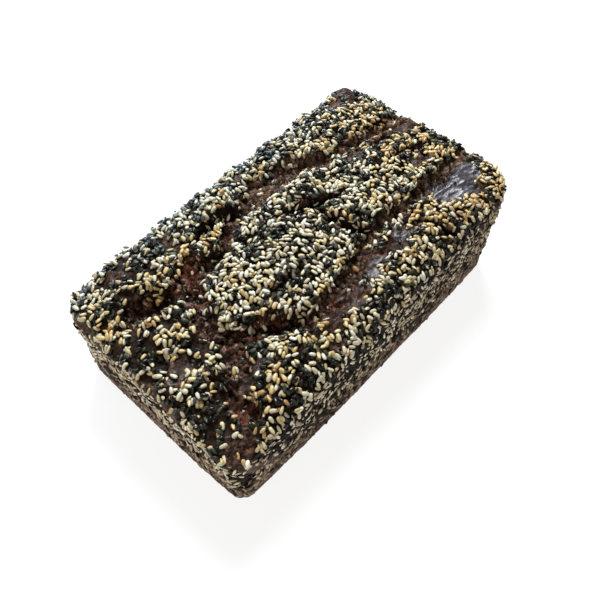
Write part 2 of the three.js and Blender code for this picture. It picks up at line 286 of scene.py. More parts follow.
def dough_point(x, y, level):
    """The place on the loaf of each place on a plain box, its level from 0 to 1."""
    radius = np.where(
        x < 0,
        np.where(y < 0, CORNER_RADIUS["left_front"], CORNER_RADIUS["left_back"]),
        np.where(y < 0, CORNER_RADIUS["right_front"], CORNER_RADIUS["right_back"]),
    )
    half_x, half_y = LENGTH / 2 - radius, WIDTH / 2 - radius
    inner_x, inner_y = np.clip(x, -half_x, half_x), np.clip(y, -half_y, half_y)
    outward = np.maximum(abs(x - inner_x), abs(y - inner_y))
    reach = np.maximum(np.hypot(x - inner_x, y - inner_y), 1e-9)
    way_x, way_y = (x - inner_x) / reach, (y - inner_y) / reach

    rim = rim_height(inner_x + way_x * outward, inner_y + way_y * outward)
    facing_front = np.maximum(0, -way_y) ** 2
    shoulder = SHOULDER_RADIUS + (FRONT_SHOULDER_RADIUS - SHOULDER_RADIUS) * facing_front
    inset = radius - outward
    at_wall = np.maximum(0, 1 - inset / WALL_REACH)
    height = level * rim
    over, above, corner = round_off(
        np.maximum(0, shoulder - inset), np.maximum(0, height - rim + shoulder)
    )
    inset = np.where(corner, shoulder - over, inset)
    height = np.where(corner, rim - shoulder + above, height)
    over, below, corner = round_off(
        np.maximum(0, FOOT_RADIUS - inset), np.maximum(0, FOOT_RADIUS - height)
    )
    inset = np.where(corner, FOOT_RADIUS - over, inset)
    height = np.where(corner, FOOT_RADIUS - below, height)

    share = height / rim
    corner_lean = CORNER_LEAN * (2 * x / LENGTH) ** 4 * np.maximum(0, -2 * y / WIDTH) ** 4
    lean = (WALL_LEAN + corner_lean) * (1 - share) + WALL_WAIST * np.sin(math.pi * share)
    ripple = WALL_RIPPLE * smoothstep(0, RIPPLE_FADE, height) * (
        np.sin(x / 5.3 + y / 4.7 + height / 9) * np.sin(height / 4.4 + x / 11 - y / 8)
    )
    end = np.where(way_x > 0, BOW["far_end"], BOW["near_end"])
    side = np.where(way_y > 0, BOW["back"], BOW["front"])
    bow = share * (
        end * way_x**2 * (1 - (2 * y / WIDTH) ** 2) + side * way_y**2 * (1 - (2 * x / LENGTH) ** 2)
    )
    out = radius - inset + (bow + ripple - lean) * at_wall
    plan_x, plan_y = inner_x + way_x * out, inner_y + way_y * out
    lift = smoothstep(rim - RELIEF_DEPTH, rim, height) * top_relief(plan_x, plan_y)
    return np.stack([plan_x, plan_y, height + lift], axis=-1)


# A box of six gridded panels, welded at its edges. Each panel has its own
# place on the map that its colours are baked to. The walls are 1 high until
# the box is bent into the loaf.
CRUST_STEP = 0.6
WALL_ROWS = 42
WALL_ON_MAP = 50
MAP_SIDE = 350
FOOT_BAND = 4                   # the rows of the base that stay gridded, next to the foot
WELD = 1e-3
UPRIGHT = Matrix.Rotation(math.pi / 2, 3, "X")
PANELS = [
    # turn of the flat grid, its two sizes, its middle, and its place on the map
    (Matrix.Identity(3), (LENGTH, WIDTH), (0, 0, 0.5), (0, 0)),
    (Matrix.Rotation(math.pi, 3, "X"), (LENGTH, WIDTH), (0, 0, -0.5), (0, 100)),
    (UPRIGHT, (LENGTH, 1), (0, -WIDTH / 2, 0), (175, 0)),
    (Matrix.Rotation(math.pi, 3, "Z") @ UPRIGHT, (LENGTH, 1), (0, WIDTH / 2, 0), (175, 55)),
    (Matrix.Rotation(math.pi / 2, 3, "Z") @ UPRIGHT, (WIDTH, 1), (LENGTH / 2, 0, 0), (175, 110)),
    (Matrix.Rotation(-math.pi / 2, 3, "Z") @ UPRIGHT, (WIDTH, 1), (-LENGTH / 2, 0, 0), (175, 165)),
]

shell = bmesh.new()
baking_map = shell.loops.layers.uv.new("OFBake")
for turn, (wide, tall), middle, (map_x, map_y) in PANELS:
    rows = WALL_ROWS if tall == 1 else round(tall / CRUST_STEP)
    map_tall = WALL_ON_MAP if tall == 1 else tall
    panel = bmesh.ops.create_grid(
        shell, x_segments=round(wide / CRUST_STEP), y_segments=rows, size=0.5
    )["verts"]
    for face in {face for vert in panel for face in vert.link_faces}:
        for loop in face.loops:
            across, up = loop.vert.co.x + 0.5, loop.vert.co.y + 0.5
            loop[baking_map].uv = (
                (map_x + across * wide) / MAP_SIDE, (map_y + up * map_tall) / MAP_SIDE
            )
    placing = Matrix.Translation(middle) @ turn.to_4x4() @ Matrix.Diagonal((wide, tall, 1, 1))
    bmesh.ops.transform(shell, matrix=placing, verts=panel)
bmesh.ops.remove_doubles(shell, verts=shell.verts, dist=WELD)
flat_base = [
    face for face in shell.faces
    if face.normal.z < -0.9
    and abs(face.calc_center_median().x) < LENGTH / 2 - FOOT_BAND
    and abs(face.calc_center_median().y) < WIDTH / 2 - FOOT_BAND
]
bmesh.ops.dissolve_faces(shell, faces=flat_base)
crust_mesh = bpy.data.meshes.new("loaf_crust")
shell.to_mesh(crust_mesh)
shell.free()


def get_vectors(points, field):
    """The places ("co") or the normals ("vector") of all points, one row for each."""
    flat = np.empty(len(points) * 3, np.float32)
    points.foreach_get(field, flat)
    return flat.reshape(-1, 3).astype(float)


def set_points(mesh, points):
    mesh.vertices.foreach_set("co", points.astype(np.float32).ravel())
    mesh.update()


def store(mesh, name, values):
    """Store a value for each point, for the finish to read."""
    layer = mesh.attributes.new(name, "FLOAT", "POINT")
    layer.data.foreach_set("value", np.asarray(values, np.float32))


def smooth(mesh):
    for face in mesh.polygons:
        face.use_smooth = True


def add(name, data):
    """A mesh, light or camera as an object of the scene."""
    made = bpy.data.objects.new(name, data)
    bpy.context.scene.collection.objects.link(made)
    return made


# bend the box into the loaf, with its rows crowded towards the rim and foot
CROWDING = 0.92
plain = get_vectors(crust_mesh.vertices, "co")
swing = np.sin(math.pi * np.clip(plain[:, 2], -0.5, 0.5) * CROWDING)
level = 0.5 + 0.5 * swing / math.sin(0.5 * CROWDING * math.pi)
skin = dough_point(plain[:, 0], plain[:, 1], level)
set_points(crust_mesh, skin)
outward = get_vectors(crust_mesh.vertex_normals, "vector")

# how the crust is at each point: torn open, smooth and bare, on top or a wall
x, y, z = skin.T
facing_up = outward[:, 2]
on_top = smoothstep(0.25, 0.75, facing_up)
under = smoothstep(0.5, 0.9, -facing_up)
tear = torn(x, y, facing_up)
band = rim_band(plain[:, 0], plain[:, 1], level)
bare = np.maximum(smooth_bare(x, y, facing_up), 0.55 * band)
gaps = thin(x, y) * on_top * (0.45 - 0.27 * rough_end(x))
bare = np.maximum(bare, gaps * (1 - tear))
# painted shade: how far the crumb is darkened deep in the furrows and cracks
shade = np.maximum(
    0.85 * smoothstep(4.6, 6.4, tear_depth(TEARS, x, y)),
    smoothstep(1.5, 4, tear_depth(CRACKS, x, y)),
)
shine = np.max([
    place[4] * (1 - smoothstep(0.8, 1.2, oval_distance(place, *ragged(x, y))))
    for place in GLAZE_AND_SHEEN_PLACES
], axis=0)
foot = 1 - smoothstep(3, 20, z + 6 * np.sin(x / 9 + y / 7))

# crags and flakes where it tore, fine wrinkles on the smooth patches, and the
# uneven skin under the seeds, which lies a little inside the plain loaf
CLUMP_SIZE = 4.2
CLUMP_HEIGHT = 2.6
CRUMB_SIZE = 1.9
CRUMB_HEIGHT = 1.2
GRAIN_SIZE = 2.1
GRAIN_HEIGHT = 0.4
SKIN_HEIGHT = 0.22
WRINKLE_HEIGHT = 0.75
SEED_BED = 0.7                  # how far inside the skin lies on the top
WALL_BED = 0.15                 # and on the walls
BASE_CLEAR = 0.3
NOISE_START = 4                 # fixed, so that it tears the same way every time
noise.seed_set(NOISE_START)


def clumps(at, size):
    """Rounded clumps of about this size with winding cracks between, from 0 to about 1."""
    bent = Vector(at) / size
    bent += 0.5 * noise.noise_vector(bent * 1.3)
    first, second = noise.voronoi(bent)[0][:2]
    return min(1, (second - first) * 1.6)


def crags(at):
    """The height of the torn crumb at a place, how far it is from a crack, and its grain."""
    clump, crumb = clumps(at, CLUMP_SIZE), clumps(at, CRUMB_SIZE)
    grain = noise.fractal(Vector(at) / GRAIN_SIZE, 0.7, 2.0, 3)
    height = (clump - 0.6) * CLUMP_HEIGHT + (crumb - 0.5) * CRUMB_HEIGHT + grain * GRAIN_HEIGHT
    return height, 0.6 * clump + 0.4 * crumb, grain


def wrinkles(at):
    """Fine wrinkles that run along the loaf."""
    stretched = Vector((at[0] / 7 - at[1] / 10, at[1] / 1.7 + at[0] / 4.5, at[2] / 3))
    return noise.fractal(stretched, 0.8, 2.0, 3)


crag, clump, grain = np.array([crags(at) for at in skin]).T
wrinkle = np.array([wrinkles(at) for at in skin])
push = (
    tear * crag
    + bare * wrinkle * WRINKLE_HEIGHT
    + (1 - under) * (1 - tear) * grain * SKIN_HEIGHT
    + (swell(x, y) - SEED_BED + WALL_BED) * on_top * (1 - tear) * (1 - bare)
    - WALL_BED * (1 - under) * (1 - tear) * (1 - bare)
)
surface = skin + outward * push[:, None]
surface[:, 2] = np.maximum(surface[:, 2], BASE_CLEAR)
set_points(crust_mesh, (surface - (*MIDDLE, 0)) * MM)
store(crust_mesh, "torn", tear)
# the clump value also carries the painted shade deep in the tears
store(crust_mesh, "clump", clump * (1 - shade))
store(crust_mesh, "bare", bare)
store(crust_mesh, "ridge", smoothstep(-0.35, 0.4, wrinkle))
store(crust_mesh, "red", np.minimum(1, gathered(RED_PLACES, x, y)))
store(crust_mesh, "dry", tear * smoothstep(-45, 25, x))
wet = tear * smoothstep(0.4, 0.9, clump) * np.maximum(0.6, shine) * (1 - shade)
store(crust_mesh, "shine", np.maximum(bare * (0.22 + 0.78 * shine), wet))
store(crust_mesh, "wall", np.maximum(band, (1 - on_top) * (0.05 + 0.95 * foot)))
smooth(crust_mesh)
crust = add("loaf_crust", crust_mesh)


class Value:
    """A number in a finish. Arithmetic on it adds the nodes that work it out."""

    def __init__(self, finish, socket):
        self.finish = finish
        self.socket = socket

    def math(self, operation, first, second):
        return self.finish.node("ShaderNodeMath", {"operation": operation}, {0: first, 1: second})

    def __add__(self, other):
        return self.math("ADD", self, other)

    def __sub__(self, other):
        return self.math("SUBTRACT", self, other)

    def __rsub__(self, other):
        return self.math("SUBTRACT", other, self)

    def __mul__(self, other):
        return self.math("MULTIPLY", self, other)

    __radd__ = __add__
    __rmul__ = __mul__


class Finish:
    """A material with one shader, and the nodes that feed it."""

    def __init__(self, name):
        self.material = bpy.data.materials.new(name)
        self.material.use_nodes = True
        self.nodes = self.material.node_tree.nodes
        self.links = self.material.node_tree.links
        self.shader = self.nodes["Principled BSDF"]

    def connect(self, value, socket):
        """Link a value to a socket, or set the socket to a number, vector or colour."""
        if isinstance(value, Value):
            self.links.new(value.socket, socket)
        elif socket.type == "RGBA":
            socket.default_value = (*value, 1)
        else:
            socket.default_value = value

    def node(self, kind, settings=None, inputs=None, output=0):
        made = self.nodes.new(kind)
        for name, setting in (settings or {}).items():
            if name == "stops":
                while len(made.color_ramp.elements) < len(setting):
                    made.color_ramp.elements.new(0.5)
                for element, (position, colour) in zip(made.color_ramp.elements, setting):
                    element.position = position
                    element.color = (*colour, 1)
            else:
                setattr(made, name, setting)
        for key, value in (inputs or {}).items():
            self.connect(value, made.inputs[key])
        return Value(self, made.outputs[output])

    def own(self, name):
        """A value stored on the mesh."""
        return self.node("ShaderNodeAttribute", {"attribute_name": name}, output="Fac")

    def speckle(self, size, detail=3, roughness=0.55, stretch=(1, 1, 1)):
        """Noise with lumps of about this size in millimetres, shorter where stretch is above 1."""
        place = self.node("ShaderNodeTexCoord", output="Object")
        place = self.node("ShaderNodeVectorMath", {"operation": "MULTIPLY"}, {0: place, 1: stretch})
        inputs = {"Vector": place, "Scale": 1 / (size * MM), "Detail": detail, "Roughness": roughness}
        return self.node("ShaderNodeTexNoise", {}, inputs)

    def ramp(self, value, stops):
        """A colour for each value, from a list of values and their colours."""
        return self.node("ShaderNodeValToRGB", {"stops": stops}, {"Fac": value})

    def step(self, value, low, high):
        """0 below low, 1 above high and smooth between."""
        settings = {"interpolation_type": "SMOOTHSTEP"}
        inputs = {"Value": value, "From Min": low, "From Max": high}
        return self.node("ShaderNodeMapRange", settings, inputs)

    def mix(self, share, first, second):
        """The first colour, with this share of the second over it."""
        inputs = {"Factor": share, 6: first, 7: second}
        return self.node("ShaderNodeMix", {"data_type": "RGBA"}, inputs, output=2)

    def bump(self, height, depth, strength=1.0, under=None):
        """Relief of this depth in millimetres, on top of the one under it."""
        inputs = {"Height": height, "Distance": depth * MM, "Strength": strength}
        if under is not None:
            inputs["Normal"] = under
        return self.node("ShaderNodeBump", {}, inputs)

    def set(self, **sockets):
        for name, value in sockets.items():
            self.connect(value, self.shader.inputs[name.replace("_", " ")])


# crust under the seeds painted nearly black as the shade between them, torn crumb
# that is reddish in places and dry and pale towards the far end, with painted shade in
# its crevices and deep in the tears and a painted glint on its brightest specks, brown
# skin on the bare patches, glossy on some with a painted blue-grey sheen, and paler
# dry crust low on the walls
# painted shade: the crust under the seeds, on the top and high on the walls, is nearly black, its own
# colour darkened to stand for the shade between the seeds
CRUST_AND_SHADE_UNDER_SEEDS = [(0.35, (0.004, 0.002, 0.001)), (0.65, (0.030, 0.014, 0.007))]
# the brightest stop of the torn crumb is partly a painted glint on its specks
TORN_CRUMB_AND_GLINTS = [
    (0.38, (0.006, 0.003, 0.002)), (0.48, (0.054, 0.025, 0.015)),
    (0.57, (0.180, 0.104, 0.070)), (0.67, (0.520, 0.360, 0.270)),
]
RED_CRUMB = (0.165, 0.044, 0.022)
DRY_CRUMB = (0.245, 0.162, 0.112)
CREVICE_SHADE = (0.005, 0.002, 0.001)
BARE_SKIN = [
    (0.38, (0.004, 0.002, 0.001)), (0.5, (0.044, 0.019, 0.010)), (0.64, (0.210, 0.110, 0.070)),
]
RED_SKIN = (0.150, 0.045, 0.025)
DRY_CRUST = [
    (0.36, (0.034, 0.019, 0.012)), (0.5, (0.160, 0.102, 0.066)), (0.66, (0.350, 0.250, 0.175)),
]
# painted sheen: the blue-grey that stands for the sky reflected in the glaze
GLAZE_SHEEN = (0.054, 0.056, 0.078)

rye = Finish("rye_crust")
coarse = rye.speckle(1.6, 3, 0.6)
fine = rye.speckle(0.7, 3, 0.6)
folds = rye.speckle(0.9, 2, 0.5, stretch=(0.25, 1, 0.7))
dark = rye.ramp(rye.speckle(4, 4), CRUST_AND_SHADE_UNDER_SEEDS)
crumb = rye.ramp(rye.speckle(1.7, 3, 0.65), TORN_CRUMB_AND_GLINTS)
reddish = rye.step(rye.speckle(3, 3) + rye.own("red") * 0.14, 0.52, 0.62) * 0.75
crumb = rye.mix(reddish, crumb, RED_CRUMB)
dried = rye.own("dry") * rye.step(rye.speckle(1.5, 4, 0.7), 0.4, 0.6) * 0.75
crumb = rye.mix(dried, crumb, DRY_CRUMB)
# painted shade: the crevices between the clumps and the deep parts of the tears go nearly black
crumb = rye.mix(1 - rye.step(rye.own("clump"), 0.0, 0.4), crumb, CREVICE_SHADE)
skin_colour = rye.ramp(rye.speckle(2.1, 5, 0.75), BARE_SKIN)
dry = rye.ramp(rye.speckle(2.4, 5, 0.65), DRY_CRUST)
colour = rye.mix(rye.own("wall"), dark, dry)
colour = rye.mix(rye.own("torn"), colour, crumb)
reddish = rye.own("red") * rye.step(rye.speckle(3, 3), 0.45, 0.6) * 0.6
skin_colour = rye.mix(reddish, skin_colour, RED_SKIN)
colour = rye.mix(rye.own("bare") * 0.95, colour, skin_colour)
# painted sheen: the glossy places take the blue-grey colour
colour = rye.mix(rye.step(rye.own("shine"), 0.3, 0.9) * 0.6, colour, GLAZE_SHEEN)
grained = rye.bump(coarse, 1.4, under=rye.bump(fine * (1 - rye.own("torn") * 0.6), 0.5))
rye.set(
    Base_Color=colour,
    Roughness=0.8 - rye.own("shine") * 0.35 + (fine - 0.5) * 0.4,
    Coat_Weight=rye.own("shine") * (0.6 + 0.4 * rye.own("ridge")),
    Coat_Roughness=0.36,
    Specular_IOR_Level=0.12,
    Normal=rye.bump(folds, 1.1, 0.9, under=grained),
)
crust_mesh.materials.append(rye.material)
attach(crust, "root")
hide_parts("loaf")

# ---------------------------------------------------------------------------
# The sesame seeds: flat drops about 3 mm long that stuck to the wet dough
# before it was baked. They lie on each other on the lumps, were pressed flat
# on the walls by the tin, and are missing where the dough tore open later.

SEED = (3.05, 1.8, 1.02)        # length, width and thickness
PRESSED_SEED = (3.0, 1.35, 0.95)
PROUD_SEED = (3.2, 1.85, 1.25)
SIZE_SPREAD = 0.14
SEED_SIDES = 6
SEED_RINGS = 5
SEED_LOWEST = 2.2
PROUD_COUNT = 188
PROUD_TRIES = 4000
PROUD_SPACING = 10.5
PROUD_LOWEST = 4
PROUD_MARGIN = 0.02             # the share of a face that they keep free at each edge
PROUD_LIFT = 0.1
CANDIDATES = 120000
MOST_SEEDS = 20000
CELL = 3.6                      # no two seeds further apart than this can touch
REST_REACH = 0.25               # how far from its middle a seed rests on others, in seed lengths
CONTACT = 0.74                  # how far apart two seeds lie side by side, in seed widths
WALL_CONTACT = 0.95
NESTLE = 0.85                   # how far a seed lies above the one below it, in thicknesses
STEEPEST = 0.6
TOP_RISE = 0.38                 # how far the middle of a seed lies above the crust of the top
WALL_HEAP = 0.3                 # how far seeds pile up on the walls
TOP_HEAP = 0.72                 # and how much further on the top
TOP_LIMIT = 53.4
TILE_MARGIN = 0.04
FIRST_PLACE_DRAW = 20431
FIRST_KIND_DRAW = 90217
DRAW_FACTOR = 16807
DRAW_LIMIT = 2**31 - 1

# the share of the seeds that is missing in each sort of place
MISSING = {"torn": 0.984, "bare": 0.99, "rim_band": 0.99, "thin": 0.995, "foot": 0.93}

# places where one kind of seed gathered: x, y, reach along, reach across, and
# how much more likely it is there
PALE_PLACES = [
    (-28, 1, 16, 8, 0.35), (-12, -3, 28, 18, 0.14), (-46, -4, 5, 8, 0.25), (2, -7, 9, 6, 0.15),
    (46, 3, 7, 6, 0.3), (-14, -21, 12, 4, 0.3), (-56, 30, 9, 3, 0.35), (-66, 34, 6, 4, 0.25),
    (-20, 38, 16, 5, 0.35), (66, 30, 9, 5, 0.2), (33, -8, 8, 5, 0.15), (27, 9, 7, 3, 0.35),
    (57, -9, 5, 4, 0.25), (52, -17, 9, 3, 0.2), (75, -27, 4, 6, 0.3), (20, -25, 6, 4, 0.3),
    (5, -41, 50, 6, 0.12),
]
BLACK_PLACES = [
    (-76, 9, 5, 5, 0.55), (-77, -30, 5, 7, 0.55), (-60, 41, 7, 4, 0.35), (-42, 39, 5, 5, 0.5),
    (-24, -11, 9, 2, 0.5), (-13, -15, 7, 3, 0.15), (53, 25, 4, 4, 0.55), (66, 28, 3, 3, 0.3),
    (-4, 7, 7, 3.5, 0.4), (22, 44, 12, 4, 0.3), (50, 41, 10, 4, 0.25), (-30, 46, 14, 3, 0.25),
    (-60, -8, 4, 4, 0.45), (-32, -26, 6, 3, 0.5), (-48, -29, 4, 3, 0.3), (-64, -22, 3, 4, 0.5),
    (0, -43, 7, 5, 0.5), (42, -44, 8, 5, 0.45), (24, -13, 4, 5, 0.35), (40, -4, 3, 3, 0.4),
    (55, 6, 5, 4, 0.45), (-71, 31, 5, 3, 0.2), (-45, -42, 24, 3, 0.15), (82, -12, 3, 8, 0.4),
    (81, -36, 5, 7, 0.3),
]
TOASTED_PLACES = [
    (-38, 27, 4, 5, 0.8), (-55, 24, 6, 3.5, 0.7), (-68, 13, 5, 3, 0.5), (-62, 5, 6, 2.5, 0.7),
    (-69, -22, 2.5, 6, 0.8), (-66, -14, 4, 4, 0.4), (16, -6, 4, 5, 0.6), (43, -6, 3, 2, 0.8),
    (58, 2, 3, 4, 0.8), (72, -3, 9, 4, 0.6), (73, -13, 6, 4, 0.4), (22, -38, 9, 4, 0.35),
    (43, -36, 9, 6, 0.6), (58, -39, 6, 3, 0.5), (77, -40, 4, 6, 0.5), (-20, -38, 8, 2.5, 0.5),
    (-53, -33, 9, 4, 0.45), (39, -27, 6, 2.5, 0.8), (60, 20, 6, 3, 0.6), (-16, 34, 5, 3, 0.5),
    (44, 26, 4, 4, 0.5), (-35, -13, 3, 5, 0.35), (-28, -34, 5, 3, 0.5), (-77, 24, 4, 4, 0.4),
    (-24, 25, 4, 3, 0.6), (34, -13, 5, 3, 0.3), (12, 37, 5, 2, 0.5), (-14, -24, 3, 2, 0.5),
]

# one seed of unit length, width and thickness along X, its tip at +X
drop = bmesh.new()
bmesh.ops.create_uvsphere(
    drop, u_segments=SEED_SIDES, v_segments=SEED_RINGS, radius=0.5,
    matrix=Matrix.Rotation(math.pi / 2, 4, "Y"),
)
for vert in drop.verts:
    taper = 0.94 - 0.45 * vert.co.x + 0.7 * vert.co.x**2
    vert.co.y *= taper
    vert.co.z *= taper
drop_points = np.array([vert.co for vert in drop.verts])
drop_faces = [[vert.index for vert in face.verts] for face in drop.faces]
drop.free()

# where its corners go on its tile of the baking map, the underside on the lower half
drop_on_tile = []
for corners in drop_faces:
    lower = drop_points[corners, 2].mean() < 0
    for along, across in drop_points[corners, :2] + 0.5:
        drop_on_tile.append((along, (1 - across) * 0.5 if lower else 0.5 + across * 0.5))


def fixed_draws(first, count):
    """A fixed row of draws from 0 to 1, five for each place or seed."""
    state = first
    row = []
    for _ in range(5 * count):
        state = state * DRAW_FACTOR % DRAW_LIMIT
        row.append(state / DRAW_LIMIT)
    return np.array(row).reshape(-1, 5)


def redraw(draw, factor=1009):
    """A further draw from 0 to 1, from the last digits of one that is used already."""
    return draw * factor % 1


def varied(size, draw):
    return np.array(size) * (1 + SIZE_SPREAD * (2 * draw - 1))


TOP, FRONT, FAR_END, BACK, NEAR_END = range(5)
wall_height = (RIM_HEIGHT["left_front"] + RIM_HEIGHT["right_back"]) / 2
face_areas = np.array([
    LENGTH * WIDTH, LENGTH * wall_height, WIDTH * wall_height,
    LENGTH * wall_height, WIDTH * wall_height,
])


def box_place(face, a, b):
    """The place on the plain box of shares a and b of a face."""
    x = np.select(
        [face == FAR_END, face == NEAR_END, face == BACK],
        [LENGTH / 2, -LENGTH / 2, (0.5 - a) * LENGTH], (a - 0.5) * LENGTH,
    )
    y = np.select(
        [face == FRONT, face == BACK, face == FAR_END, face == NEAR_END],
        [-WIDTH / 2, WIDTH / 2, (a - 0.5) * WIDTH, (0.5 - a) * WIDTH], (b - 0.5) * WIDTH,
    )
    return x, y, np.where(face == TOP, 1, b)


def unit(vectors):
    return vectors / np.linalg.norm(vectors, axis=1)[:, None]


def seed_beds(draws, low, high):
    """Where each draw would lay a seed: its face, middle, long axis, way out and rim band."""
    reach = np.cumsum(face_areas)
    face = np.searchsorted(reach, draws[:, 0] * reach[-1], side="right")
    a = low + (high - low) * draws[:, 1]
    b = low + (high - low) * draws[:, 2]
    step = 0.004
    middle = dough_point(*box_place(face, a, b))
    along = dough_point(*box_place(face, a + step, b)) - dough_point(*box_place(face, a - step, b))
    up = dough_point(*box_place(face, a, b + step)) - dough_point(*box_place(face, a, b - step))
    out = unit(np.cross(along, up))
    along = unit(along)
    turn = 2 * math.pi * draws[:, 3:4]
    axis = along * np.cos(turn) + np.cross(out, along) * np.sin(turn)
    return face, middle, axis, out, rim_band(*box_place(face, a, b))


Seed = namedtuple("Seed", "middle, axis, side, up, size, out")
TAIL_MIDDLE_TIP = np.array([[-1], [0], [1]])


class Cover:
    """The seeds that lie on the loaf so far, sorted into cells to find neighbours fast."""

    def __init__(self):
        self.seeds = []
        self.rests = np.empty((MOST_SEEDS, 3, 3))
        self.cells = {}

    def cell(self, at):
        return tuple((at // CELL).astype(int))

    def near(self, at):
        """The numbers of the seeds in the cells round a place."""
        i, j, k = self.cell(at)
        found = []
        for di, dj, dk in product((-1, 0, 1), repeat=3):
            found += self.cells.get((i + di, j + dj, k + dk), ())
        return found

    def lay(self, at, axis, out, size, ground, highest, contact=CONTACT, roll=0.0):
        """Lay a seed on the crust and on those below it, unless it would lie too high."""
        half = REST_REACH * size[0]
        rests = at + half * TAIL_MIDDLE_TIP * axis
        need = np.full(3, ground)
        near = self.near(at)
        if near:
            gap = self.rests[near].reshape(-1, 1, 3) - rests
            height = gap @ out
            aside = np.linalg.norm(gap - height[..., None] * out, axis=-1)
            touching = contact * size[1]
            arch = size[2] * np.sqrt(np.clip(1 - (aside / touching) ** 2, 0, 1)) * NESTLE
            need = np.maximum(need, np.where(aside > touching, ground, height + arch).max(axis=0))
        slope = np.clip((need[2] - need[0]) / (2 * half), -STEEPEST, STEEPEST)
        lift = max(need[1], need[2] - slope * half, need[0] + slope * half)
        if lift > highest:
            return
        tilted = axis + slope * out
        tilted /= np.linalg.norm(tilted)
        middle = at + lift * out
        self.rests[len(self.seeds)] = middle + half * TAIL_MIDDLE_TIP * tilted
        self.cells.setdefault(self.cell(middle), []).append(len(self.seeds))
        side = np.cross(out, tilted)
        up = np.cross(tilted, side)
        rolled_side = side * math.cos(roll) + up * math.sin(roll)
        rolled_up = up * math.cos(roll) - side * math.sin(roll)
        self.seeds.append(Seed(middle, tilted, rolled_side, rolled_up, size, out))


# first the seeds that stand out furthest, which the solid loaf has too
cover = Cover()
draws = fixed_draws(FIRST_PLACE_DRAW, CANDIDATES)
face, middle, axis, out, band = seed_beds(draws[:PROUD_TRIES], PROUD_MARGIN, 1 - PROUD_MARGIN)
x, y, z = middle.T
bare_there = (tear_distance(x, y) < 1) | (patch_distance(x, y) < 1)
proud_places = []
for i in range(PROUD_TRIES):
    clear = all(math.dist(middle[i], other) > PROUD_SPACING for other in proud_places)
    if clear and z[i] > PROUD_LOWEST and not (face[i] == TOP and bare_there[i]):
        proud_places.append(middle[i])
        size = varied(PROUD_SEED, draws[i, 4])
        cover.lay(middle[i], axis[i], out[i], size, PROUD_LIFT, math.inf)
    if len(proud_places) == PROUD_COUNT:
        break

# then the rest, wherever they find room: heaped on the top, in one layer that
# the tin pressed into the walls, and few near the foot. Some small islands of
# seeds are left in the furrows and on the smooth patches of the near end.
face, middle, axis, out, band = seed_beds(draws, 0, 1)
x, y, z = middle.T
flat_on_top = smoothstep(0.2, 0.7, out[:, 2])
at_foot = 1 - smoothstep(1, 9, z)
islands = smoothstep(0.45, 0.6, waves(x, y, (2.4, 1.7, 3.7), (2.1, 1.4, 4.3)))
tear = torn(x, y, out[:, 2])
bare = smooth_bare(x, y, out[:, 2])
bare_missing = bare * (MISSING["bare"] - 0.22 * islands * smoothstep(-45, -65, x))
chance = (
    (1 - tear * (MISSING["torn"] - 0.1 * islands))
    * (1 - np.maximum(bare_missing, MISSING["rim_band"] * band))
    * (1 - MISSING["thin"] * thin(x, y) * flat_on_top)
    * (1 - MISSING["foot"] * at_foot)
)
rolls = (redraw(draws[:, 1]) * 2 - 1) * (0.45 + 0.85 * (1 - flat_on_top))
pressed_in = 0.2 + 0.22 * abs(np.sin(rolls)) + 0.14 * redraw(draws[:, 2]) + 0.25 * at_foot
ground = (TOP_RISE - SEED_BED + swell(x, y)) * flat_on_top - pressed_in * (1 - flat_on_top)
highest = np.minimum(ground + WALL_HEAP + TOP_HEAP * flat_on_top, TOP_LIMIT - z)
for i in range(CANDIDATES):
    if draws[i, 4] < chance[i] and z[i] > SEED_LOWEST:
        size = np.array(PRESSED_SEED) + flat_on_top[i] * (np.array(SEED) - PRESSED_SEED)
        size = varied(size, redraw(draws[i, 4], 97))
        lift = tear[i] * (crags(middle[i])[0] - swell(x[i], y[i])) if tear[i] > 0.1 else 0
        contact = WALL_CONTACT + (CONTACT - WALL_CONTACT) * flat_on_top[i]
        cover.lay(
            middle[i], axis[i], out[i], size, ground[i] + lift, highest[i] + lift, contact, rolls[i]
        )


def sort_seed(seed, draw):
    """The kind of a seed and its tint, from its place, the bunch it lies in and its draws."""
    x, y, z = seed.middle
    at = Vector(seed.middle)
    bunch = noise.fractal(at / 6.5, 0.9, 2.0, 2)
    upward = redraw(draw[2]) < smoothstep(0.1, 0.8, seed.out[2])
    if upward:
        warm = gathered(TOASTED_PLACES, x, y)
        black = 0.46 + 0.5 * bunch
        black += gathered(BLACK_PLACES, x, y) - gathered(PALE_PLACES, x, y)
        black += 0.6 * noise.noise(at / 3.4) - 0.5 * warm
        toasted = 0.03 + warm + 0.2 * noise.noise(at / 5)
        warm += 0.24 * smoothstep(10, 45, -y) + 0.42 * smoothstep(40, 65, -x)
    else:
        more_in_front = 0.2 - 0.26 * smoothstep(40, 72, x)
        black = 0.2 + more_in_front * smoothstep(0.3, 1, -seed.out[1]) + 0.4 * bunch
        black += 0.14 * smoothstep(0.3, 1, -seed.out[0]) * (1 - smoothstep(16, 24, z))
        toasted = 0
        warm = 0.5 - 0.6 * smoothstep(12, 26, z)
    warm += 0.7 * smoothstep(30, 75, x)
    if draw[0] < black:
        shaded = max(smoothstep(15, 35, -y), smoothstep(45, 60, -x))
        return "black", draw[2] * (1 - 0.3 * shaded)
    if draw[1] < toasted:
        return "toasted", draw[2]
    pale = 0.2 + 0.8 * draw[2] - 0.5 * min(1, warm)
    return "white" if upward else "pressed", min(1, max(0, pale))


kinds = {"white": [], "pressed": [], "toasted": [], "black": []}
for seed, draw in zip(cover.seeds, fixed_draws(FIRST_KIND_DRAW, len(cover.seeds))):
    kind, tint = sort_seed(seed, draw)
    kinds[kind].append((seed, tint))


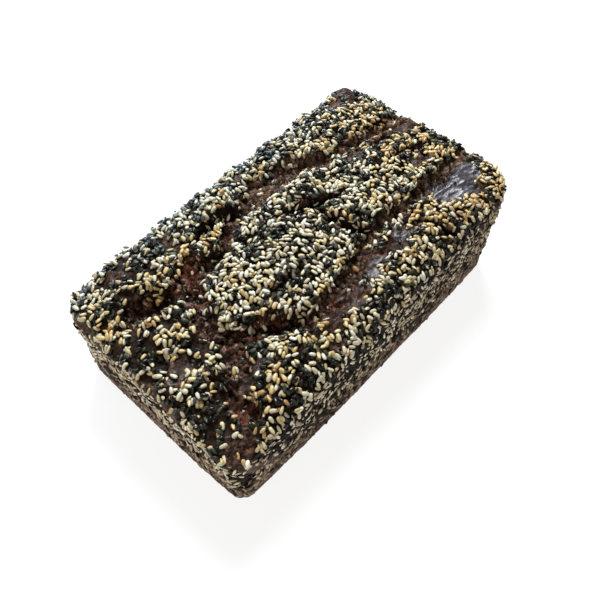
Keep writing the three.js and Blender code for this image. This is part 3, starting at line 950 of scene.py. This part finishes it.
def seed_piece(name, seeds, finish):
    """One mesh of all the seeds of a kind, with a tile of the baking map for each."""
    count = len(drop_points)
    points = np.empty((len(seeds), count, 3))
    for i, (seed, _) in enumerate(seeds):
        along, across, up = np.hsplit(drop_points * seed.size, 3)
        points[i] = seed.middle + along * seed.axis + across * seed.side + up * seed.up
    points = (points - (*MIDDLE, 0)) * MM
    points[..., 2] = np.maximum(points[..., 2], 0)
    faces = [
        [corner + i * count for corner in corners] for i in range(len(seeds)) for corners in drop_faces
    ]
    mesh = bpy.data.meshes.new(name)
    mesh.from_pydata(points.reshape(-1, 3), [], faces)

    tiles = math.ceil(math.sqrt(len(seeds)))
    tile = np.stack([np.arange(len(seeds)) % tiles, np.arange(len(seeds)) // tiles], axis=-1)
    on_map = (tile[:, None] + TILE_MARGIN + (1 - 2 * TILE_MARGIN) * np.array(drop_on_tile)) / tiles
    mesh.uv_layers.new(name="OFBake").data.foreach_set("uv", on_map.astype(np.float32).ravel())

    middles = np.array([seed.middle for seed, _ in seeds])
    facing_up = np.array([seed.out[2] for seed, _ in seeds])
    store(mesh, "tint", np.repeat([tint for _, tint in seeds], count))
    store(mesh, "tip", np.tile(drop_points[:, 0] + 0.5, len(seeds)))
    store(mesh, "edge", np.tile(2 * abs(drop_points[:, 1]), len(seeds)))
    # painted sheen: the seeds along the back rim are greyed in colour to stand for the sky glancing
    # off them
    store(mesh, "back_rim", np.repeat(smoothstep(28, 45, middles[:, 1]), count))
    store(mesh, "on_top", np.repeat(smoothstep(0.2, 0.6, facing_up), count))
    store(mesh, "low_down", np.repeat(1 - smoothstep(5, 19, middles[:, 2]), count))
    smooth(mesh)
    mesh.materials.append(finish.material)
    piece = add(name, mesh)
    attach(piece, "root")


# white seeds: straw where the oven caught them, else pale cream, a little
# glossy, browner at the tip and edge, and with a painted grey sheen along the back
WHITE_HUSK = [
    (0.0, (0.55, 0.36, 0.14)), (0.2, (0.63, 0.485, 0.22)), (0.36, (0.64, 0.54, 0.31)),
    (0.5, (0.63, 0.545, 0.41)), (0.65, (0.65, 0.605, 0.41)), (0.82, (0.68, 0.655, 0.53)),
    (1.0, (0.71, 0.695, 0.62)),
]
WHITE_TIP = (0.42, 0.29, 0.15)
WHITE_SPECKLE = (0.47, 0.38, 0.22)
WHITE_EDGE = (0.33, 0.22, 0.12)
WHITE_BACK_SHEEN = (0.36, 0.40, 0.37)
white = Finish("white_sesame")
husk = white.ramp(white.own("tint"), WHITE_HUSK)
husk = white.mix(white.step(white.own("tip"), 0.78, 1.0) * 0.5, husk, WHITE_TIP)
husk = white.mix(white.step(white.speckle(0.8, 2), 0.45, 0.75) * 0.35, husk, WHITE_SPECKLE)
husk = white.mix(white.step(white.own("edge"), 0.3, 1.0) * 0.45, husk, WHITE_EDGE)
husk = white.mix(white.own("back_rim") * 0.35, husk, WHITE_BACK_SHEEN)
white.set(Base_Color=husk, Roughness=0.25 + white.speckle(0.5, 2) * 0.2)
seed_piece("white_seeds", kinds["white"], white)

# white seeds pressed by the tin: dull greyish beige, browner low down
PRESSED_HUSK = [
    (0.0, (0.26, 0.17, 0.11)), (0.35, (0.55, 0.44, 0.29)),
    (0.7, (0.88, 0.77, 0.55)), (1.0, (1.0, 0.96, 0.78)),
]
PRESSED_SPECKLE = (0.20, 0.14, 0.09)
PRESSED_LOW_DOWN = (0.27, 0.19, 0.13)
pressed = Finish("pressed_sesame")
husk = pressed.ramp(pressed.own("tint"), PRESSED_HUSK)
husk = pressed.mix(pressed.step(pressed.speckle(1.4, 3), 0.45, 0.7) * 0.6, husk, PRESSED_SPECKLE)
husk = pressed.mix(pressed.own("low_down") * 0.75, husk, PRESSED_LOW_DOWN)
pressed.set(
    Base_Color=husk, Roughness=0.6 + pressed.speckle(0.5, 2) * 0.2, Specular_IOR_Level=0.2
)
seed_piece("pressed_seeds", kinds["pressed"], pressed)

# toasted seeds: orange brown to gold, with a burnt tip
TOASTED_HUSK = [
    (0.0, (0.36, 0.19, 0.06)), (0.35, (0.53, 0.35, 0.13)), (1.0, (0.67, 0.52, 0.26)),
]
TOASTED_TIP = (0.24, 0.10, 0.04)
toasted = Finish("toasted_sesame")
husk = toasted.ramp(toasted.own("tint"), TOASTED_HUSK)
husk = toasted.mix(toasted.step(toasted.own("tip"), 0.75, 1.0) * 0.5, husk, TOASTED_TIP)
toasted.set(Base_Color=husk, Roughness=0.36 + toasted.speckle(0.5, 2) * 0.2)
seed_piece("toasted_seeds", kinds["toasted"], toasted)

# black seeds: nearly black and glossy on the top, with a painted blue-grey sheen
# along the back, and dull brown low on the walls
BLACK_HUSK = [
    (0.0, (0.003, 0.002, 0.001)), (0.5, (0.015, 0.014, 0.006)), (1.0, (0.112, 0.118, 0.080)),
]
BLACK_BACK_SHEEN = (0.095, 0.118, 0.122)
BLACK_ON_WALL = (0.004, 0.003, 0.002)
BLACK_LOW_DOWN = (0.060, 0.036, 0.024)
black = Finish("black_sesame")
husk = black.ramp(black.own("tint"), BLACK_HUSK)
husk = black.mix(black.own("back_rim") * black.step(black.own("tint"), 0.1, 0.9), husk, BLACK_BACK_SHEEN)
husk = black.mix(black.own("on_top"), BLACK_ON_WALL, husk)
husk = black.mix(black.own("low_down") * 0.5, husk, BLACK_LOW_DOWN)
black.set(
    Base_Color=husk,
    Roughness=0.6 + black.speckle(0.5, 2) * 0.2,
    Coat_Weight=black.own("on_top") * 0.5,
    Coat_Roughness=0.2,
    Specular_IOR_Level=0.12,
)
seed_piece("black_seeds", kinds["black"], black)

# ---------------------------------------------------------------------------
# The studio: a floor that glows nearly white, a cool window high behind the
# loaf, a broad low sky beside it, a faint warm light from the near end, and a
# dim warm room all round.

FLOOR_HALF_SIDE = 3
FLOOR_GREY = (0.18, 0.18, 0.18)
FLOOR_GLOW = 0.86
floor_mesh = bpy.data.meshes.new("floor")
sheet = bmesh.new()
bmesh.ops.create_grid(sheet, x_segments=1, y_segments=1, size=FLOOR_HALF_SIDE)
sheet.to_mesh(floor_mesh)
sheet.free()
floor = add("floor", floor_mesh)
paper = Finish("floor")
paper.set(
    Base_Color=FLOOR_GREY, Roughness=0.9, Emission_Color=(1, 1, 1), Emission_Strength=FLOOR_GLOW
)
floor_mesh.materials.append(paper.material)


def stand(thing, aim, distance, azimuth, elevation):
    """Stand a lamp or camera off a point that it faces, its azimuth turning from +X to +Y."""
    turn, rise = math.radians(azimuth), math.radians(elevation)
    away = Vector((math.cos(turn) * math.cos(rise), math.sin(turn) * math.cos(rise), math.sin(rise)))
    thing.location = aim + away * distance
    thing.rotation_euler = away.to_track_quat("Z", "Y").to_euler()


LOAF_CENTRE = Vector((0, 0, 0.03))
LIGHTS = [
    # name, azimuth, elevation, distance, size, watts, colour
    ("window", 42, 55, 0.9, 0.36, 13, (0.89, 0.955, 1.0)),
    ("sky", 72, 20, 1.1, 1.0, 12, (0.72, 0.86, 1.0)),
    ("front", -165, 28, 1.1, 0.9, 4, (1.0, 0.95, 0.88)),
]
for name, azimuth, elevation, distance, size, watts, tone in LIGHTS:
    light = bpy.data.lights.new(name, "AREA")
    light.shape = "DISK"
    light.size = size
    light.energy = watts
    light.color = tone
    stand(add(name, light), LOAF_CENTRE, distance, azimuth, elevation)

ROOM_COLOUR = (1.0, 0.93, 0.76, 1)
ROOM_STRENGTH = 0.14
room = bpy.data.worlds.new("room")
room.use_nodes = True
room.node_tree.nodes["Background"].inputs["Color"].default_value = ROOM_COLOUR
room.node_tree.nodes["Background"].inputs["Strength"].default_value = ROOM_STRENGTH
bpy.context.scene.world = room
bpy.context.scene.view_settings.view_transform = "Standard"

# the camera: high in front of the near left corner
CAMERA_AIM = Vector((-10.948, -8.75, 21.493)) * MM
CAMERA_DISTANCE = 264.955 * MM
CAMERA_AZIMUTH = -137.522
CAMERA_ELEVATION = 53.895
CAMERA_LENS = 38.139            # for a sensor 36 wide
camera = bpy.data.cameras.new("camera")
camera.sensor_width = 36
camera.lens = CAMERA_LENS
camera.clip_start = 0.01
eye = add("camera", camera)
stand(eye, CAMERA_AIM, CAMERA_DISTANCE, CAMERA_AZIMUTH, CAMERA_ELEVATION)
bpy.context.scene.camera = eye
